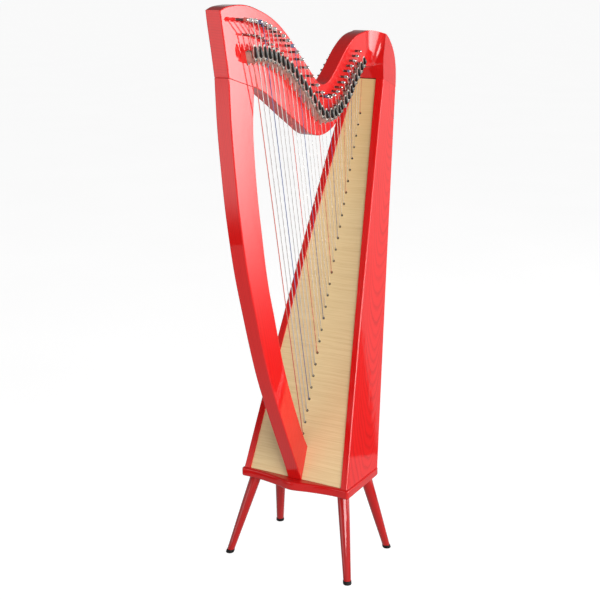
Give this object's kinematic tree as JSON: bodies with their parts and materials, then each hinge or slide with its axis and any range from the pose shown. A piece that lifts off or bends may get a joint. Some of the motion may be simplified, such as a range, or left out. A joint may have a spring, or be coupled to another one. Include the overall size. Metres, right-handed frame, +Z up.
{
  "type": "lever harp",
  "caption": "Upright stringed instrument: a curved neck and pillar over a tapering soundbox on splayed legs, with a tuning pin and a sharpening lever for every string.",
  "frame": {"origin": "on the floor under the middle of the whole harp", "axes": "+Z up; -Y towards the pillar, +Y towards the back of the soundbox; +X towards the side that carries the strings, pins and levers"},
  "size_m": [0.3634, 0.7483, 1.3769],
  "materials": {
    "red_wood": "transparent red stain under high-gloss lacquer",
    "soundboard_wood": "pale cross-grained soundboard, satin lacquer",
    "inner_wood": "bare wood inside the soundbox",
    "lever_metal": "bright plated metal with a dark grip",
    "stud_metal": "plain steel",
    "string_material": "nylon and wound strings, some of them red or blue",
    "rubber": "matt black rubber"
  },
  "bodies": {
    "harp": {"back_brace_1": "inner_wood", "back_brace_2": "inner_wood", "back_brace_3": "inner_wood", "back_panel": "red_wood", "base_board": "red_wood", "bottom_block": "inner_wood", "foot_back_left": "rubber", "foot_back_right": "rubber", "foot_front_left": "rubber", "foot_front_right": "rubber", "leg_back_left": "red_wood", "leg_back_right": "red_wood", "leg_front_left": "red_wood", "leg_front_right": "red_wood", "leg_stud_back_left": "stud_metal", "leg_stud_back_right": "stud_metal", "leg_stud_front_left": "stud_metal", "leg_stud_front_right": "stud_metal", "lining_left": "inner_wood", "lining_right": "inner_wood", "neck": "red_wood", "pillar": "red_wood", "rim_strip_left": "red_wood", "rim_strip_right": "red_wood", "shoulder": "red_wood", "side_panel_left": "red_wood", "side_panel_right": "red_wood", "soundboard": "soundboard_wood", "strings": "string_material"},
    "lever_01": {"lever_01": "lever_metal"},
    "lever_02": {"lever_02": "lever_metal"},
    "lever_03": {"lever_03": "lever_metal"},
    "lever_04": {"lever_04": "lever_metal"},
    "lever_05": {"lever_05": "lever_metal"},
    "lever_06": {"lever_06": "lever_metal"},
    "lever_07": {"lever_07": "lever_metal"},
    "lever_08": {"lever_08": "lever_metal"},
    "lever_09": {"lever_09": "lever_metal"},
    "lever_10": {"lever_10": "lever_metal"},
    "lever_11": {"lever_11": "lever_metal"},
    "lever_12": {"lever_12": "lever_metal"},
    "lever_13": {"lever_13": "lever_metal"},
    "lever_14": {"lever_14": "lever_metal"},
    "lever_15": {"lever_15": "lever_metal"},
    "lever_16": {"lever_16": "lever_metal"},
    "lever_17": {"lever_17": "lever_metal"},
    "lever_18": {"lever_18": "lever_metal"},
    "lever_19": {"lever_19": "lever_metal"},
    "lever_20": {"lever_20": "lever_metal"},
    "lever_21": {"lever_21": "lever_metal"},
    "lever_22": {"lever_22": "lever_metal"},
    "lever_23": {"lever_23": "lever_metal"},
    "lever_24": {"lever_24": "lever_metal"},
    "lever_25": {"lever_25": "lever_metal"},
    "lever_26": {"lever_26": "lever_metal"},
    "lever_27": {"lever_27": "lever_metal"},
    "lever_28": {"lever_28": "lever_metal"},
    "lever_29": {"lever_29": "lever_metal"}
  },
  "joints": [
    {"name": "lever_01_turn", "type": "hinge", "parent": "harp", "child": "lever_01", "pos_m": [0.0385, 0.21656, 1.21696], "axis": [0, 0.9172, 0.3983], "range_deg": [0, 95]},
    {"name": "lever_02_turn", "type": "hinge", "parent": "harp", "child": "lever_02", "pos_m": [0.0385, 0.20266, 1.20446], "axis": [0, 0.9235, 0.3836], "range_deg": [0, 95]},
    {"name": "lever_03_turn", "type": "hinge", "parent": "harp", "child": "lever_03", "pos_m": [0.0385, 0.18879, 1.19185], "axis": [0, 0.9284, 0.3717], "range_deg": [0, 95]},
    {"name": "lever_04_turn", "type": "hinge", "parent": "harp", "child": "lever_04", "pos_m": [0.0385, 0.17495, 1.17894], "axis": [0, 0.9322, 0.362], "range_deg": [0, 95]},
    {"name": "lever_05_turn", "type": "hinge", "parent": "harp", "child": "lever_05", "pos_m": [0.0385, 0.1612, 1.16586], "axis": [0, 0.9353, 0.3538], "range_deg": [0, 95]},
    {"name": "lever_06_turn", "type": "hinge", "parent": "harp", "child": "lever_06", "pos_m": [0.0385, 0.15214, 1.15306], "axis": [0, 0.9454, 0.326], "range_deg": [0, 95]},
    {"name": "lever_07_turn", "type": "hinge", "parent": "harp", "child": "lever_07", "pos_m": [0.0385, 0.13849, 1.14013], "axis": [0, 0.9472, 0.3205], "range_deg": [0, 95]},
    {"name": "lever_08_turn", "type": "hinge", "parent": "harp", "child": "lever_08", "pos_m": [0.0385, 0.12412, 1.12874], "axis": [0, 0.9486, 0.3165], "range_deg": [0, 95]},
    {"name": "lever_09_turn", "type": "hinge", "parent": "harp", "child": "lever_09", "pos_m": [0.0385, 0.1044, 1.11822], "axis": [0, 0.9437, 0.3308], "range_deg": [0, 95]},
    {"name": "lever_10_turn", "type": "hinge", "parent": "harp", "child": "lever_10", "pos_m": [0.0385, 0.09236, 1.11076], "axis": [0, 0.9492, 0.3146], "range_deg": [0, 95]},
    {"name": "lever_11_turn", "type": "hinge", "parent": "harp", "child": "lever_11", "pos_m": [0.0385, 0.07482, 1.10599], "axis": [0, 0.9492, 0.3147], "range_deg": [0, 95]},
    {"name": "lever_12_turn", "type": "hinge", "parent": "harp", "child": "lever_12", "pos_m": [0.0385, 0.05715, 1.10286], "axis": [0, 0.9496, 0.3136], "range_deg": [0, 95]},
    {"name": "lever_13_turn", "type": "hinge", "parent": "harp", "child": "lever_13", "pos_m": [0.0385, 0.03381, 1.10426], "axis": [0, 0.9463, 0.3233], "range_deg": [0, 95]},
    {"name": "lever_14_turn", "type": "hinge", "parent": "harp", "child": "lever_14", "pos_m": [0.0385, 0.01373, 1.11309], "axis": [0, 0.9481, 0.318], "range_deg": [0, 95]},
    {"name": "lever_15_turn", "type": "hinge", "parent": "harp", "child": "lever_15", "pos_m": [0.0385, -0.00224, 1.12692], "axis": [0, 0.9534, 0.3016], "range_deg": [0, 95]},
    {"name": "lever_16_turn", "type": "hinge", "parent": "harp", "child": "lever_16", "pos_m": [0.0385, -0.02333, 1.14405], "axis": [0, 0.9552, 0.2959], "range_deg": [0, 95]},
    {"name": "lever_17_turn", "type": "hinge", "parent": "harp", "child": "lever_17", "pos_m": [0.0385, -0.04404, 1.16149], "axis": [0, 0.9569, 0.2903], "range_deg": [0, 95]},
    {"name": "lever_18_turn", "type": "hinge", "parent": "harp", "child": "lever_18", "pos_m": [0.0385, -0.06353, 1.17717], "axis": [0, 0.9587, 0.2845], "range_deg": [0, 95]},
    {"name": "lever_19_turn", "type": "hinge", "parent": "harp", "child": "lever_19", "pos_m": [0.0385, -0.0828, 1.1921], "axis": [0, 0.9601, 0.2795], "range_deg": [0, 95]},
    {"name": "lever_20_turn", "type": "hinge", "parent": "harp", "child": "lever_20", "pos_m": [0.0385, -0.10284, 1.20682], "axis": [0, 0.9611, 0.2763], "range_deg": [0, 95]},
    {"name": "lever_21_turn", "type": "hinge", "parent": "harp", "child": "lever_21", "pos_m": [0.0385, -0.12279, 1.21988], "axis": [0, 0.9617, 0.2741], "range_deg": [0, 95]},
    {"name": "lever_22_turn", "type": "hinge", "parent": "harp", "child": "lever_22", "pos_m": [0.0385, -0.14199, 1.22941], "axis": [0, 0.9622, 0.2724], "range_deg": [0, 95]},
    {"name": "lever_23_turn", "type": "hinge", "parent": "harp", "child": "lever_23", "pos_m": [0.0385, -0.16087, 1.23726], "axis": [0, 0.9626, 0.271], "range_deg": [0, 95]},
    {"name": "lever_24_turn", "type": "hinge", "parent": "harp", "child": "lever_24", "pos_m": [0.0385, -0.17973, 1.24503], "axis": [0, 0.9629, 0.2698], "range_deg": [0, 95]},
    {"name": "lever_25_turn", "type": "hinge", "parent": "harp", "child": "lever_25", "pos_m": [0.0385, -0.19832, 1.25166], "axis": [0, 0.9632, 0.2687], "range_deg": [0, 95]},
    {"name": "lever_26_turn", "type": "hinge", "parent": "harp", "child": "lever_26", "pos_m": [0.0385, -0.2162, 1.25658], "axis": [0, 0.9636, 0.2675], "range_deg": [0, 95]},
    {"name": "lever_27_turn", "type": "hinge", "parent": "harp", "child": "lever_27", "pos_m": [0.0385, -0.23428, 1.25989], "axis": [0, 0.9637, 0.267], "range_deg": [0, 95]},
    {"name": "lever_28_turn", "type": "hinge", "parent": "harp", "child": "lever_28", "pos_m": [0.0385, -0.25363, 1.26104], "axis": [0, 0.9633, 0.2684], "range_deg": [0, 95]},
    {"name": "lever_29_turn", "type": "hinge", "parent": "harp", "child": "lever_29", "pos_m": [0.0385, -0.27338, 1.26136], "axis": [0, 0.9628, 0.2703], "range_deg": [0, 95]}
  ]
}
